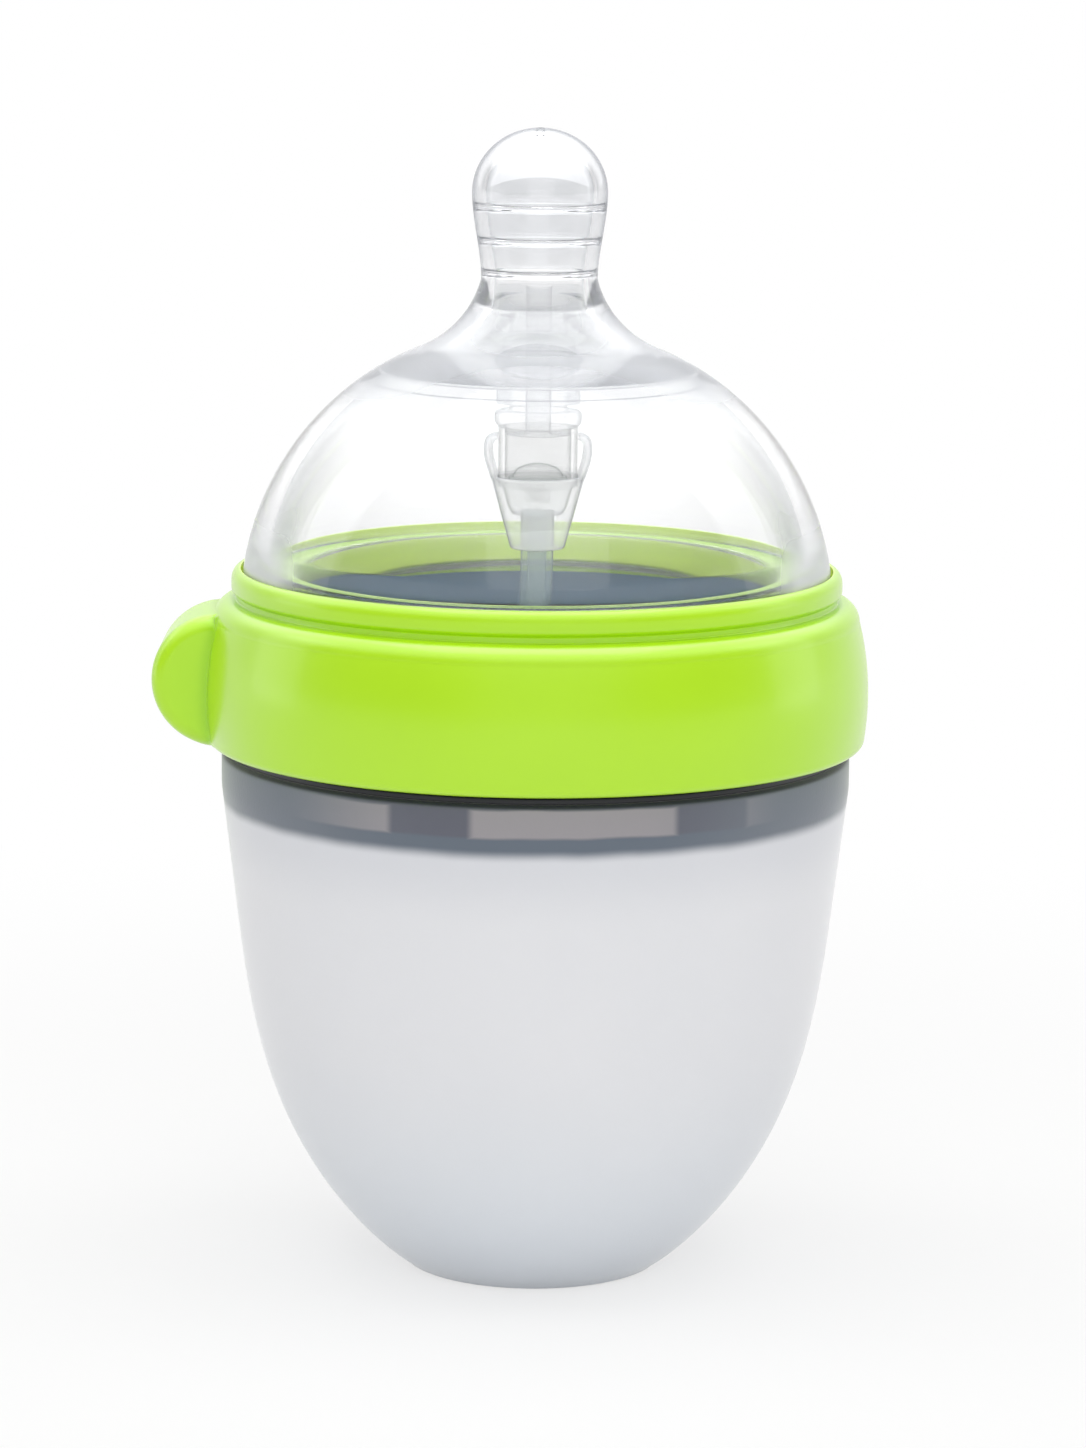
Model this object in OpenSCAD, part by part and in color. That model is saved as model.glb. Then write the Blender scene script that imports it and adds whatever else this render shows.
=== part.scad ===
// Wide-neck baby bottle: a soft silicone bowl moulded onto a stiff threaded neck,
// a screw collar, a one-piece silicone nipple, and a drinking adapter with a
// weighted straw. Millimetres, +Z up, origin at the centre of the flat foot.

/* [Bowl] */
// Radius of the flat foot
foot_r = 14.4; // [12:0.1:16]
// Outer radius of the bowl at its top
bowl_r = 36.6; // [36:0.1:38]
// Height of the silicone bowl
bowl_h = 61.2; // [56:0.2:70]
// Height over which the bottom of the bowl curves into its side
bowl_curve_h = 44.3; // [36:0.1:48]
// How far the side leans outward for each millimetre of height
bowl_slope = 0.12; // [0.06:0.01:0.14]
// How full the curve of the bottom is
bowl_fullness = 3.23; // [2.6:0.01:3.8]
// How square the corner between foot and side is
bowl_corner = 1.19; // [1.05:0.01:1.5]
// Thickness of the silicone wall
bowl_wall = 2.4; // [2:0.1:3]
// Radius of the rounded top edge of the bowl
bowl_edge_r = 0.8; // [0.4:0.1:1]

/* [Neck ring] */
// Outer radius of the threaded neck under its thread
neck_r = 33.8; // [33:0.1:34.2]
// Thickness of the neck wall
neck_wall = 2.2; // [1.6:0.1:2.6]
// Height of the neck above the bowl
neck_h = 15.9; // [14:0.1:20]
// Depth of the skirt that is moulded into the silicone
skirt_h = 5.7; // [5.2:0.1:9]
// Thickness of the skirt
skirt_wall = 1.6; // [1.2:0.1:2]
// Thickness of silicone over the outside of the skirt
skin = 1.1; // [0.8:0.1:1.4]
// Thickness of the shoulder that shows between bowl and collar
shoulder_t = 0.7; // [0.5:0.1:1.5]
// How far the shoulder stands inside the bowl's outer radius
shoulder_inset = 0.7; // [0.4:0.1:1]
// Number of windows in the skirt that the silicone grips through
window_count = 7; // [3:1:8]
// Width of one window, in degrees
window_angle = 36; // [20:1:42]
// Height of a window
window_h = 3.3; // [2:0.1:3.6]
// Width of the silicone left above a window
window_top = 0.5; // [0.4:0.1:1]
// Angle of the first window about the axis
window_turn = -83; // [-180:1:180]
// Size of the rim's bevels
rim_bevel = 0.4; // [0.2:0.1:0.6]

/* [Screw thread] */
// Rise of the thread in one turn
thread_pitch = 4; // [3.6:0.1:5]
// Height of a thread ridge
thread_depth = 1.2; // [0.8:0.1:1.4]
// Width of a ridge where it leaves its wall
thread_root = 1.8; // [1.2:0.1:1.8]
// Width of a ridge at its crest
thread_crest = 0.9; // [0.6:0.1:1.1]
// Turns of ridge on the neck
neck_turns = 1.3; // [1:0.05:1.5]
// Turns of ridge in the collar
collar_turns = 1.1; // [0.8:0.05:1.3]
// Free space between a crest and the wall it faces
thread_gap = 0.4; // [0.3:0.05:0.6]
// Angle about the axis at which both ridges start
thread_start = 25; // [10:5:80]

/* [Collar] */
// Thickness of the collar's wall at its fullest
collar_wall = 3.25; // [2.6:0.05:4]
// Height of the collar's band
band_h = 16.9; // [15:0.1:22]
// Radius of the band's barrel-shaped side, seen in section
band_arc_r = 34; // [28:1:60]
// Height of the fullest part of the band above its lower edge
band_belly = 5.8; // [5:0.1:8]
// Rounding of the band's lower edge
band_low_r = 1; // [0.6:0.1:1.4]
// Rounding of the band's upper edge
band_top_r = 1.3; // [0.8:0.1:1.4]
// Height of the lip above the band
lip_h = 3.4; // [3:0.1:5]
// Thickness of the lip at its snap bead
lip_wall = 1.1; // [0.9:0.05:1.6]
// Depth of the groove under the snap bead
groove_depth = 0.45; // [0.2:0.05:0.5]
// Height of the groove under the snap bead
groove_h = 0.5; // [0.3:0.1:0.9]
// Height of the straight land on the snap bead
bead_land = 1.1; // [0.8:0.1:1.4]
// Gap between the collar and the neck's shoulder when screwed down
collar_gap = 0.3; // [0.2:0.1:0.8]

/* [Thumb tab] */
// Radius of the tab's round outline
tab_r = 7.7; // [6:0.1:8]
// Distance of the tab's tip from the bottle's axis
tab_reach = 44.4; // [43:0.1:46]
// Width of the tab around the collar
tab_w = 15; // [10:0.5:18]
// Rounding of the tab's edges
tab_edge_r = 1.8; // [1:0.1:2.4]

/* [Nipple] */
// Thickness of the nipple's flange
flange_t = 1.45; // [1.2:0.05:2]
// Clearance between the nipple and the collar
nipple_gap = 0.3; // [0.25:0.05:0.5]
// How far the flange reaches past the dome's widest radius
flange_reach = 0.7; // [0.5:0.1:1]
// Distance from the axis to the centre of the arc of the dome's side, seen in section
dome_arc_offset = 1.7; // [1.4:0.1:2]
// Height of that arc's centre above the neck's rim
dome_arc_rise = 0.5; // [0.2:0.1:0.8]
// Thickness of the dome's wall at its base
dome_wall = 2.7; // [2.4:0.1:3]
// How much higher the inside arc's centre is than the outside one's
dome_thinning = 1.3; // [1:0.1:1.6]
// Radius of the flare from dome to teat
flare_r = 11.9; // [11:0.1:13]
// Distance of the flare's centre from the axis
flare_offset = 18.2; // [17.8:0.1:18.8]
// How far under the flare's centre the teat begins
flare_end = 3.1; // [2:0.1:4]
// Radius of the step inside the dome, where the areola thins
step_r = 18.9; // [17:0.1:20]
// Width of that step
step_w = 1.3; // [0.8:0.1:1.6]
// Height of that step
step_h = 1.5; // [1:0.1:1.6]
// Radius of the wide end of the neck under the teat
throat_r = 7.6; // [7:0.1:8.2]
// Depth of the throat's wide end below the start of the teat
throat_drop = 7.9; // [7:0.1:8.4]
// Height of the throat's cone
throat_h = 3; // [2:0.1:4]
// Radius of the straight bore that holds the adapter
throat_bore_r = 5.5; // [5:0.05:5.6]
// Height of the side of the teat
teat_h = 9.9; // [8:0.1:12]
// Radius of the teat's bulb
teat_r = 7.8; // [7.4:0.1:8.4]
// Height of the teat's rounded tip
tip_h = 7.4; // [6.4:0.1:9]
// Thickness of the teat's wall
teat_wall = 1.6; // [1.2:0.05:2]
// Height of the rings inside the teat
ring_depth = 0.35; // [0.2:0.05:0.5]
// Number of rings inside the teat
ring_count = 3; // [2:1:4]
// Height of the lowest ring above the teat's base
ring_low = 0.8; // [0.6:0.1:1.2]
// Distance of the highest ring under the bulb's widest place
ring_high = 1.5; // [0.8:0.1:2]
// Diameter of the hole in the tip
tip_hole_d = 0.8; // [0.4:0.1:1.2]
// Height of the ledge inside the dome's base above the rim
ledge_h = 6.6; // [5:0.1:8]
// Width of the ledge inside the dome's base
ledge_w = 2.9; // [2:0.1:3.2]
// Length of an air vent slit
vent_l = 2.4; // [1.6:0.1:3.6]
// Width of an air vent slit
vent_w = 0.5; // [0.3:0.1:0.8]

/* [Adapter] */
// Height of the plug's top bead in the nipple's throat
plug_bead_h = 3; // [2:0.1:3.6]
// Radius of the plug's stem
stem_r = 3.3; // [2.8:0.1:3.4]
// Length of the stem between top bead and flange
stem_l = 11.2; // [9:0.1:13]
// Radius of the stem's collar
stem_collar_r = 4.2; // [3.8:0.1:4.6]
// Height of the stem's collar
stem_collar_h = 3.2; // [2:0.1:3.6]
// Radius of the plug's flange
plug_flange_r = 5.05; // [4.9:0.05:5.6]
// Thickness of the plug's flange
plug_flange_t = 2; // [1.6:0.1:2.4]
// Depth of the plug's spigot in the barrel
spigot_l = 0.9; // [0.6:0.1:1.6]
// Radius of the channel through the plug
channel_r = 1.5; // [1:0.1:1.8]
// Outer radius of the barrel
barrel_r = 4.6; // [4.3:0.05:4.8]
// Length of the barrel
barrel_l = 6.9; // [6:0.1:9]
// Thickness of the barrel's wall
barrel_wall = 0.75; // [0.6:0.05:0.9]
// Outer radius of the nozzle under the barrel
nozzle_r = 1.45; // [1.2:0.05:1.8]
// Length of the nozzle
nozzle_l = 1.9; // [1:0.1:2.4]
// Radius of the nozzle's bore
nozzle_bore_r = 0.8; // [0.5:0.05:1]
// Radius of the one-way valve
valve_r = 3.4; // [3:0.05:3.45]
// Height of the valve's dome
valve_h = 1.9; // [1.4:0.1:2.4]

/* [Adapter holder] */
// Thickness of the holder's wall
holder_wall = 0.85; // [0.6:0.05:1.1]
// Depth of the seat that takes the barrel
seat_h = 1.2; // [0.8:0.1:2]
// Distance from the seat down to the holder's waist
holder_cone_h = 3.3; // [3:0.1:5]
// Outer radius of the holder's waist
holder_waist_r = 4.25; // [4:0.05:4.5]
// Length of the outlet tube
outlet_l = 4; // [3:0.1:4.5]
// Outer radius of the outlet's end
outlet_r = 3.15; // [2.9:0.05:3.6]
// Height of the ears above the holder's rim
ear_h = 4.9; // [4:0.1:5.2]
// How far the ears bulge past the holder's rim
ear_bulge = 0.85; // [0.5:0.05:1.2]
// Thickness of an ear
ear_t = 0.55; // [0.4:0.05:0.8]
// Width of an ear about the axis, in degrees
ear_angle = 56; // [30:1:90]

/* [Straw and weight] */
// Outer radius of the straw
straw_r = 1.9; // [1.8:0.05:2]
// Radius of the weight's shells
weight_r = 5.6; // [5.2:0.1:7]
// Height of the weight's lower shell
weight_cup_h = 7; // [6:0.1:8]
// Height of the weight's upper shell
weight_cap_h = 7; // [6.4:0.1:9]
// Thickness of the weight's shells
weight_wall = 1.2; // [0.8:0.1:1.6]
// Radius of the bore through the weight
weight_bore_r = 1.3; // [1:0.1:1.6]
// Depth of the socket for the straw
socket_h = 3; // [2:0.1:4]
// Number of inlet slots round the lower shell
slot_count = 4; // [3:1:6]
// Width of an inlet slot
slot_w = 1.6; // [1:0.1:2]

/* [Hidden] */

$fn = 96;
// Steps in a curved stretch of a section
arc_steps = 14;
// Rings of a thread ridge in one turn
thread_steps = 40;
// How far a cut runs past the face it opens
over = 1;
// How deep a ridge is rooted in its wall
rooting = 0.4;
// Height of the upright stretch at the bowl's top
bowl_rise = 4;

// Neck ring levels and radii
skirt_r = bowl_r - skin;
skirt_in_r = skirt_r - skirt_wall;
neck_in_r = neck_r - neck_wall;
shoulder_r = bowl_r - shoulder_inset;
shoulder_z = bowl_h + shoulder_t;
rim_z = bowl_h + neck_h;
// Upper edge of the windows
window_z = bowl_h - window_top;
// Height above which the neck's inside starts to draw in, just over the windows
draw_in_z = window_z + window_top / 2;
// Width of that bevel, limited so that the corner under the shoulder keeps its wall
corner_wall = 0.7;
draw_in = min(skirt_in_r - neck_in_r, neck_wall + shoulder_z - draw_in_z - corner_wall);

// Collar levels and radii
collar_z = shoulder_z + collar_gap;
collar_bore_r = neck_r + thread_depth + thread_gap;
band_r = collar_bore_r + collar_wall;
band_top_z = collar_z + band_h;
lip_z = band_top_z + lip_h;
belly_z = collar_z + band_belly;
tab_z = collar_z + tab_r;
// Height of the neck ridge's middle at its start
neck_ridge_z = collar_z + thread_pitch;
// The collar's ridge runs half a pitch under the neck's
collar_ridge_z = neck_ridge_z - thread_pitch / 2;

// Nipple levels and radii
flange_z = rim_z + flange_t;
flange_r = collar_bore_r - nipple_gap;
dome_z = rim_z + dome_arc_rise;
dome_arc_r = flange_r - flange_reach - dome_arc_offset;
dome_r = dome_arc_offset + sqrt(pow(dome_arc_r, 2) - pow(lip_z - dome_z, 2));
opening_r = dome_r + nipple_gap;
bead_r = opening_r + lip_wall;
groove_r = bead_r - groove_depth;
dome_in_z = dome_z + dome_thinning;
ledge_z = rim_z + ledge_h;
dome_in_r = dome_r - dome_wall;
base_in_r = dome_in_r - ledge_w;
dome_in_arc_r = norm([dome_in_r - dome_arc_offset, ledge_z - dome_in_z]);

// The flare touches the dome's arc from outside, so their centres are both radii apart
flare_gap_r = flare_offset - dome_arc_offset;
flare_z = dome_z + sqrt(pow(dome_arc_r + flare_r, 2) - pow(flare_gap_r, 2));
flare_low_a = atan2(dome_z - flare_z, -flare_gap_r);
flare_high_a = -180 + asin(flare_end / flare_r);
teat_z = flare_z - flare_end;
teat_base_r = flare_offset - sqrt(pow(flare_r, 2) - pow(flare_end, 2));
bulb_z = teat_z + teat_h;
tip_z = bulb_z + tip_h;
step_z = dome_in_z + sqrt(pow(dome_in_arc_r, 2) - pow(step_r - dome_arc_offset, 2));
throat_z = teat_z - throat_drop;
bore_z = throat_z + throat_h;

// Adapter levels, from the nipple's throat downward
bead_seat_gap = 0.6;
plug_bead_z = bore_z + bead_seat_gap;
plug_z = plug_bead_z - stem_l;
stem_collar_z = throat_z - stem_collar_h + bead_seat_gap;
barrel_top_z = plug_z - plug_flange_t;
seat_z = barrel_top_z - barrel_l;
floor_t = barrel_wall;
barrel_in_r = barrel_r - barrel_wall;
holder_rim_z = seat_z + seat_h;
holder_rim_r = barrel_r + holder_wall;
waist_z = seat_z - holder_cone_h;
outlet_z = waist_z - outlet_l;
seat_ledge = 0.5;
bridge_t = 0.8;
// How far an ear's root lies inside the holder's cone
ear_inset = 0.2;

// Route of the straw, from its end in the holder down to the weight
STRAW = [
    [0, 0, 88.6], [0, 0, 84], [-0.1, 0, 80], [-0.2, 0.1, 76], [-0.3, 0.1, 72], [-0.5, 0.2, 68],
    [-0.7, 0.3, 64], [-0.9, 0.4, 60], [-1.2, 0.5, 55], [-1.4, 0.6, 50], [-1.6, 0.7, 45],
    [-1.8, 0.8, 40], [-1.9, 0.9, 35], [-2, 1, 30], [-2, 1, 25], [-2, 1, 17]
];
straw_sides = 8;
straw_end = STRAW[len(STRAW) - 1];
weight_split_z = straw_end.z + socket_h - weight_cap_h;
weight_z = weight_split_z - weight_cup_h;
weight_round = 2;
core_r = weight_r - weight_wall;
core_low_z = weight_z + weight_wall;
core_high_z = straw_end.z - weight_wall / 2;

// Points of an arc in a section, from angle a to angle b about centre c
function arc(c, r, a, b, n = arc_steps) =
    [for (i = [0:n]) [c.x + r * cos(a + (b - a) * i / n), c.y + r * sin(a + (b - a) * i / n)]];

function reversed(points) = [for (i = [len(points) - 1:-1:0]) points[i]];

// Outer radius of the bowl at height z: a superellipse that runs into a leaning side
function bowl_radius(z) =
    let (side = bowl_r - bowl_slope * max(bowl_h - bowl_rise - z, 0),
         drop = 1 - min(z / bowl_curve_h, 1))
    foot_r + (side - foot_r) * pow(1 - pow(drop, bowl_fullness), 1 / bowl_corner);

// Outside of the bowl in section, with its points closest together near the foot
bowl_side = [for (i = [0:30]) let (z = (bowl_h - bowl_edge_r) * pow(i / 30, 1.6)) [bowl_radius(z), z]];

// A section line moved by d to the inner side of its direction of travel
function moved(line, d) = [
    for (i = [0:len(line) - 1])
        let (t = line[min(i + 1, len(line) - 1)] - line[max(i - 1, 0)])
        line[i] + d * [-t.y, t.x] / norm(t)
];

// Smooth rise from 0 to 1
function ease(t) = t * t * (3 - 2 * t);

// Outer radius of the teat's side, t from 0 at its base to 1 at its bulb
function teat_side_r(t) = teat_base_r + (teat_r - teat_base_r) * ease(t);

// A helical ridge: wall_r is the wall it grows from, crest_r its crest, z0 the height at its start
module ridge(wall_r, crest_r, z0, turns) {
    count = ceil(turns * thread_steps);
    ramp = thread_steps / 8;
    out = sign(crest_r - wall_r);
    foot = wall_r - out * rooting;
    buried = wall_r - out * rooting / 2;
    ring = [
        for (i = [0:count])
            let (a = thread_start + 360 * turns * i / count,
                 z = z0 + thread_pitch * turns * i / count,
                 rise = min(i / ramp, (count - i) / ramp, 1),
                 top = buried + (crest_r - buried) * rise,
                 corners = [[foot, -thread_root / 2], [top, -thread_crest / 2],
                            [top, thread_crest / 2], [foot, thread_root / 2]])
            for (p = corners) [p.x * cos(a), p.x * sin(a), z + p.y]
    ];
    walls = [
        for (i = [0:count - 1], k = [0:3])
            let (a = 4 * i + k, b = 4 * i + (k + 1) % 4)
            out > 0 ? [a, b, b + 4, a + 4] : [a, a + 4, b + 4, b]
    ];
    ends = out > 0 ? [[3, 2, 1, 0], [4 * count, 4 * count + 1, 4 * count + 2, 4 * count + 3]]
                   : [[0, 1, 2, 3], [4 * count + 3, 4 * count + 2, 4 * count + 1, 4 * count]];
    polyhedron(points = ring, faces = concat(walls, ends), convexity = 6);
}

module neck_section() {
    polygon([
        [skirt_r, bowl_h - skirt_h],
        [skirt_r, bowl_h],
        [shoulder_r, bowl_h],
        [shoulder_r, shoulder_z],
        [neck_r, shoulder_z],
        [neck_r, rim_z - rim_bevel],
        [neck_r - rim_bevel, rim_z],
        [neck_in_r + rim_bevel, rim_z],
        [neck_in_r, rim_z - rim_bevel],
        [neck_in_r, draw_in_z + draw_in],
        [neck_in_r + draw_in, draw_in_z],
        [skirt_in_r, draw_in_z],
        [skirt_in_r, bowl_h - skirt_h]
    ]);
}

module skirt_windows() {
    for (i = [0:window_count - 1])
        rotate([0, 0, window_turn + i * 360 / window_count - window_angle / 2])
            rotate_extrude(angle = window_angle)
                translate([skirt_in_r - over, window_z - window_h])
                    square([skirt_wall + 2 * over, window_h]);
}

// The neck without its thread, which is also the hollow that it leaves in the silicone
module neck_blank() {
    difference() {
        rotate_extrude() neck_section();
        skirt_windows();
    }
}

module bottle_body() {
    inner = [for (p = moved(bowl_side, bowl_wall)) if (p.y < bowl_h - skirt_h) p];
    color("whitesmoke")
        difference() {
            rotate_extrude()
                polygon(concat(
                    [[0, 0]],
                    bowl_side,
                    arc([bowl_r - bowl_edge_r, bowl_h - bowl_edge_r], bowl_edge_r, 0, 90, 4),
                    [[skirt_in_r, bowl_h], [skirt_in_r, bowl_h - skirt_h]],
                    reversed(inner),
                    [[0, inner[0].y]]
                ));
            neck_blank();
        }
}

module neck_ring() {
    color("slategray") {
        union() {
            neck_blank();
            ridge(neck_r, neck_r + thread_depth, neck_ridge_z, neck_turns);
        }
    }
}

module collar_section() {
    low_r = band_side_r(collar_z + band_low_r);
    top_r = band_side_r(band_top_z - band_top_r);
    seat_top = flange_z + nipple_gap / 2;
    polygon(concat(
        [[collar_bore_r, collar_z]],
        arc([low_r - band_low_r, collar_z + band_low_r], band_low_r, -90, 0, 6),
        [for (i = [1:arc_steps - 1])
            let (z = collar_z + band_low_r + (band_h - band_low_r - band_top_r) * i / arc_steps)
            [band_side_r(z), z]],
        arc([top_r - band_top_r, band_top_z - band_top_r], band_top_r, 0, 90, 6),
        [[groove_r, band_top_z], [groove_r, band_top_z + groove_h],
         [bead_r, band_top_z + groove_h + groove_depth],
         [bead_r, band_top_z + groove_h + groove_depth + bead_land]],
        lip_top(),
        [[opening_r, seat_top], [collar_bore_r, seat_top]]
    ));
}

// Barrel-shaped side of the band
function band_side_r(z) = band_r - band_arc_r + sqrt(pow(band_arc_r, 2) - pow(z - belly_z, 2));

// Rounded top of the lip, from the bead's land to the opening
function lip_top() =
    let (land_z = band_top_z + groove_h + groove_depth + bead_land,
         h = lip_z - land_z)
    [for (i = [1:6]) [bead_r - (lip_wall - 0.1) * (1 - cos(15 * i)), land_z + h * sin(15 * i)]];

module thumb_tab() {
    half = tab_w / 2;
    translate([tab_r - tab_reach, 0, tab_z])
        rotate([90, 0, 0])
            rotate_extrude()
                polygon(concat(
                    [[0, -half]],
                    arc([tab_r - tab_edge_r, -half + tab_edge_r], tab_edge_r, -90, 0, 5),
                    arc([tab_r - tab_edge_r, half - tab_edge_r], tab_edge_r, 0, 90, 5),
                    [[0, half]]
                ));
}

module collar() {
    color("greenyellow") {
        union() {
            rotate_extrude() collar_section();
            difference() {
                thumb_tab();
                translate([0, 0, collar_z - over])
                    cylinder(r = collar_bore_r + collar_wall / 2, h = band_h + lip_h + 2 * over);
            }
            ridge(collar_bore_r, collar_bore_r - thread_depth, collar_ridge_z, collar_turns);
        }
    }
}

module nipple() {
    ring_step = (teat_h - ring_low - ring_high) / (ring_count - 1);
    rings = [
        for (i = [0:ring_count - 1], p = [[0, -1], [-1, 0], [0, 1]] * ring_depth)
            let (z = ring_low + ring_step * i + p.y)
            [teat_side_r(z / teat_h) - teat_wall + p.x, teat_z + z]
    ];
    outside = concat(
        [[flange_r, rim_z], [flange_r, flange_z], [dome_r, flange_z]],
        arc([dome_arc_offset, dome_z], dome_arc_r,
            asin((lip_z - dome_z) / dome_arc_r), flare_low_a + 180, 20),
        reversed(arc([flare_offset, flare_z], flare_r, flare_high_a, flare_low_a)),
        [for (i = [1:10]) [teat_side_r(i / 10), teat_z + teat_h * i / 10]],
        [for (i = [1:12]) [teat_r * cos(7.5 * i), bulb_z + tip_h * sin(7.5 * i)]]
    );
    inside = concat(
        [[base_in_r, rim_z], [base_in_r, ledge_z]],
        arc([dome_arc_offset, dome_in_z], dome_in_arc_r,
            atan2(ledge_z - dome_in_z, dome_in_r - dome_arc_offset),
            acos((step_r - dome_arc_offset) / dome_in_arc_r), 16),
        [[step_r - step_w, step_z + step_h], [throat_r, throat_z], [throat_bore_r, bore_z],
         [throat_bore_r, teat_z]],
        rings,
        [for (i = [0:12])
            [(teat_r - teat_wall) * cos(7.5 * i), bulb_z + (tip_h - teat_wall) * sin(7.5 * i)]]
    );
    color("azure")
        difference() {
            rotate_extrude() polygon(concat(outside, reversed(inside)));
            translate([0, 0, bulb_z]) cylinder(d = tip_hole_d, h = tip_h + over);
            for (a = [0, 180]) rotate([0, 0, a]) vent();
        }
}

// A slit from the space just outside the neck's rim up to the ledge inside the dome
module vent() {
    low = [neck_r + vent_w / 2, rim_z];
    high = [dome_in_r - ledge_w / 2, ledge_z];
    lean = atan2(low.x - high.x, high.y - low.y);
    translate([low.x, 0, low.y])
        rotate([0, -lean, 0])
            translate([-vent_w / 2, -vent_l / 2, -over])
                cube([vent_w, vent_l, norm(high - low) + 2 * over]);
}

module adapter_plug() {
    round_r = 0.5;
    spigot_z = barrel_top_z - spigot_l;
    plug_top_z = plug_bead_z + plug_bead_h;
    color("mintcream")
        rotate_extrude()
            difference() {
                polygon([
                    [0, spigot_z],
                    [barrel_in_r, spigot_z],
                    [barrel_in_r, barrel_top_z],
                    [barrel_r, barrel_top_z],
                    [plug_flange_r, barrel_top_z + round_r],
                    [plug_flange_r, plug_z - round_r],
                    [plug_flange_r - round_r, plug_z],
                    [stem_r, plug_z],
                    [stem_r, stem_collar_z],
                    [stem_collar_r, stem_collar_z + round_r],
                    [stem_collar_r, stem_collar_z + stem_collar_h - round_r],
                    [stem_r, stem_collar_z + stem_collar_h],
                    [stem_r, plug_bead_z - round_r],
                    [throat_bore_r, plug_bead_z],
                    [throat_bore_r, plug_top_z - 2 * round_r],
                    [throat_bore_r - round_r, plug_top_z],
                    [0, plug_top_z]
                ]);
                translate([-over, spigot_z - over])
                    square([channel_r + over, plug_top_z - spigot_z + 2 * over]);
            }
}

module adapter_barrel() {
    color("lightcyan")
        difference() {
            union() {
                translate([0, 0, seat_z]) cylinder(r = barrel_r, h = barrel_l);
                translate([0, 0, seat_z - nozzle_l]) cylinder(r = nozzle_r, h = nozzle_l + floor_t / 2);
            }
            translate([0, 0, seat_z + floor_t]) cylinder(r = barrel_in_r, h = barrel_l);
            translate([0, 0, seat_z - nozzle_l - over])
                cylinder(r = nozzle_bore_r, h = nozzle_l + floor_t + 2 * over);
        }
}

module one_way_valve() {
    lip_t = 0.4;
    dome_in = 0.5;
    valve_z = seat_z + floor_t;
    color("honeydew")
        rotate_extrude()
            polygon(concat(
                [[0, valve_z], [valve_r, valve_z], [valve_r, valve_z + lip_t]],
                [for (a = [0:11.25:90])
                    [(valve_r - dome_in) * cos(a), valve_z + lip_t + (valve_h - lip_t) * sin(a)]]
            ));
}

module adapter_holder() {
    chamber_r = holder_waist_r - holder_wall;
    ear_r = holder_rim_r + ear_bulge;
    ear_top = holder_rim_z + ear_h;
    ear_root_z = holder_rim_z - ear_t;
    // The upright stretch of an ear, between its two bends
    upright_low_z = holder_rim_z + 0.4 * ear_h;
    upright_high_z = holder_rim_z + 0.75 * ear_h;
    color("lightcyan") {
        union() {
            rotate_extrude()
                polygon([
                    [straw_r, outlet_z],
                    [outlet_r, outlet_z],
                    [holder_waist_r, waist_z],
                    [holder_rim_r, holder_rim_z],
                    [barrel_r, holder_rim_z],
                    [barrel_r, seat_z],
                    [barrel_r - seat_ledge, seat_z],
                    [chamber_r, waist_z + bridge_t],
                    [chamber_r - seat_ledge, waist_z],
                    [straw_r, waist_z]
                ]);
            for (side = [0, 180])
                rotate([0, 0, side - ear_angle / 2])
                    rotate_extrude(angle = ear_angle)
                        polygon([
                            [holder_rim_r - ear_t, ear_root_z],
                            [holder_rim_r - ear_inset, ear_root_z],
                            [ear_r, upright_low_z],
                            [ear_r, upright_high_z],
                            [ear_r - ear_bulge, ear_top],
                            [barrel_r, ear_top],
                            [barrel_r, ear_top - ear_t],
                            [ear_r - ear_bulge - ear_t / 2, ear_top - ear_t],
                            [ear_r - ear_t, upright_high_z],
                            [ear_r - ear_t, upright_low_z]
                        ]);
        }
    }
}

module straw() {
    rings = len(STRAW);
    points = [
        for (i = [0:rings - 1])
            let (t = STRAW[min(i + 1, rings - 1)] - STRAW[max(i - 1, 0)])
            for (k = [0:straw_sides - 1])
                let (a = 360 * k / straw_sides,
                     x = straw_r * cos(a), y = straw_r * sin(a))
                STRAW[i] + [x, y, i == 0 || i == rings - 1 ? 0 : -(x * t.x + y * t.y) / t.z]
    ];
    walls = [
        for (i = [0:rings - 2], k = [0:straw_sides - 1])
            let (a = i * straw_sides + k, b = i * straw_sides + (k + 1) % straw_sides)
            [a, b, b + straw_sides, a + straw_sides]
    ];
    last = (rings - 1) * straw_sides;
    ends = [
        [for (k = [straw_sides - 1:-1:0]) k],
        [for (k = [0:straw_sides - 1]) last + k]
    ];
    color("lightblue") polyhedron(points = points, faces = concat(walls, ends), convexity = 4);
}

module weight_cap() {
    top_z = weight_split_z + weight_cap_h;
    color("white")
        translate([straw_end.x, straw_end.y, 0])
            rotate_extrude()
                polygon(concat(
                    [[core_r, weight_split_z], [weight_r, weight_split_z]],
                    arc([weight_r - weight_round, top_z - weight_round], weight_round, 0, 90, 6),
                    [[straw_r, top_z], [straw_r, straw_end.z], [weight_bore_r, straw_end.z],
                     [weight_bore_r, core_high_z], [core_r, core_high_z]]
                ));
}

module weight_cup() {
    color("white")
        translate([straw_end.x, straw_end.y, 0])
            difference() {
                rotate_extrude()
                    polygon(concat(
                        [[weight_bore_r, weight_z]],
                        arc([weight_r - weight_round, weight_z + weight_round], weight_round, -90, 0, 6),
                        [[weight_r, weight_split_z], [core_r, weight_split_z],
                         [core_r, core_low_z], [weight_bore_r, core_low_z]]
                    ));
                for (i = [0:slot_count - 1])
                    rotate([0, 0, i * 360 / slot_count])
                        translate([weight_bore_r - over, -slot_w / 2, weight_z - over])
                            cube([weight_r - weight_round, slot_w, weight_wall / 2 + over]);
            }
}

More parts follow.
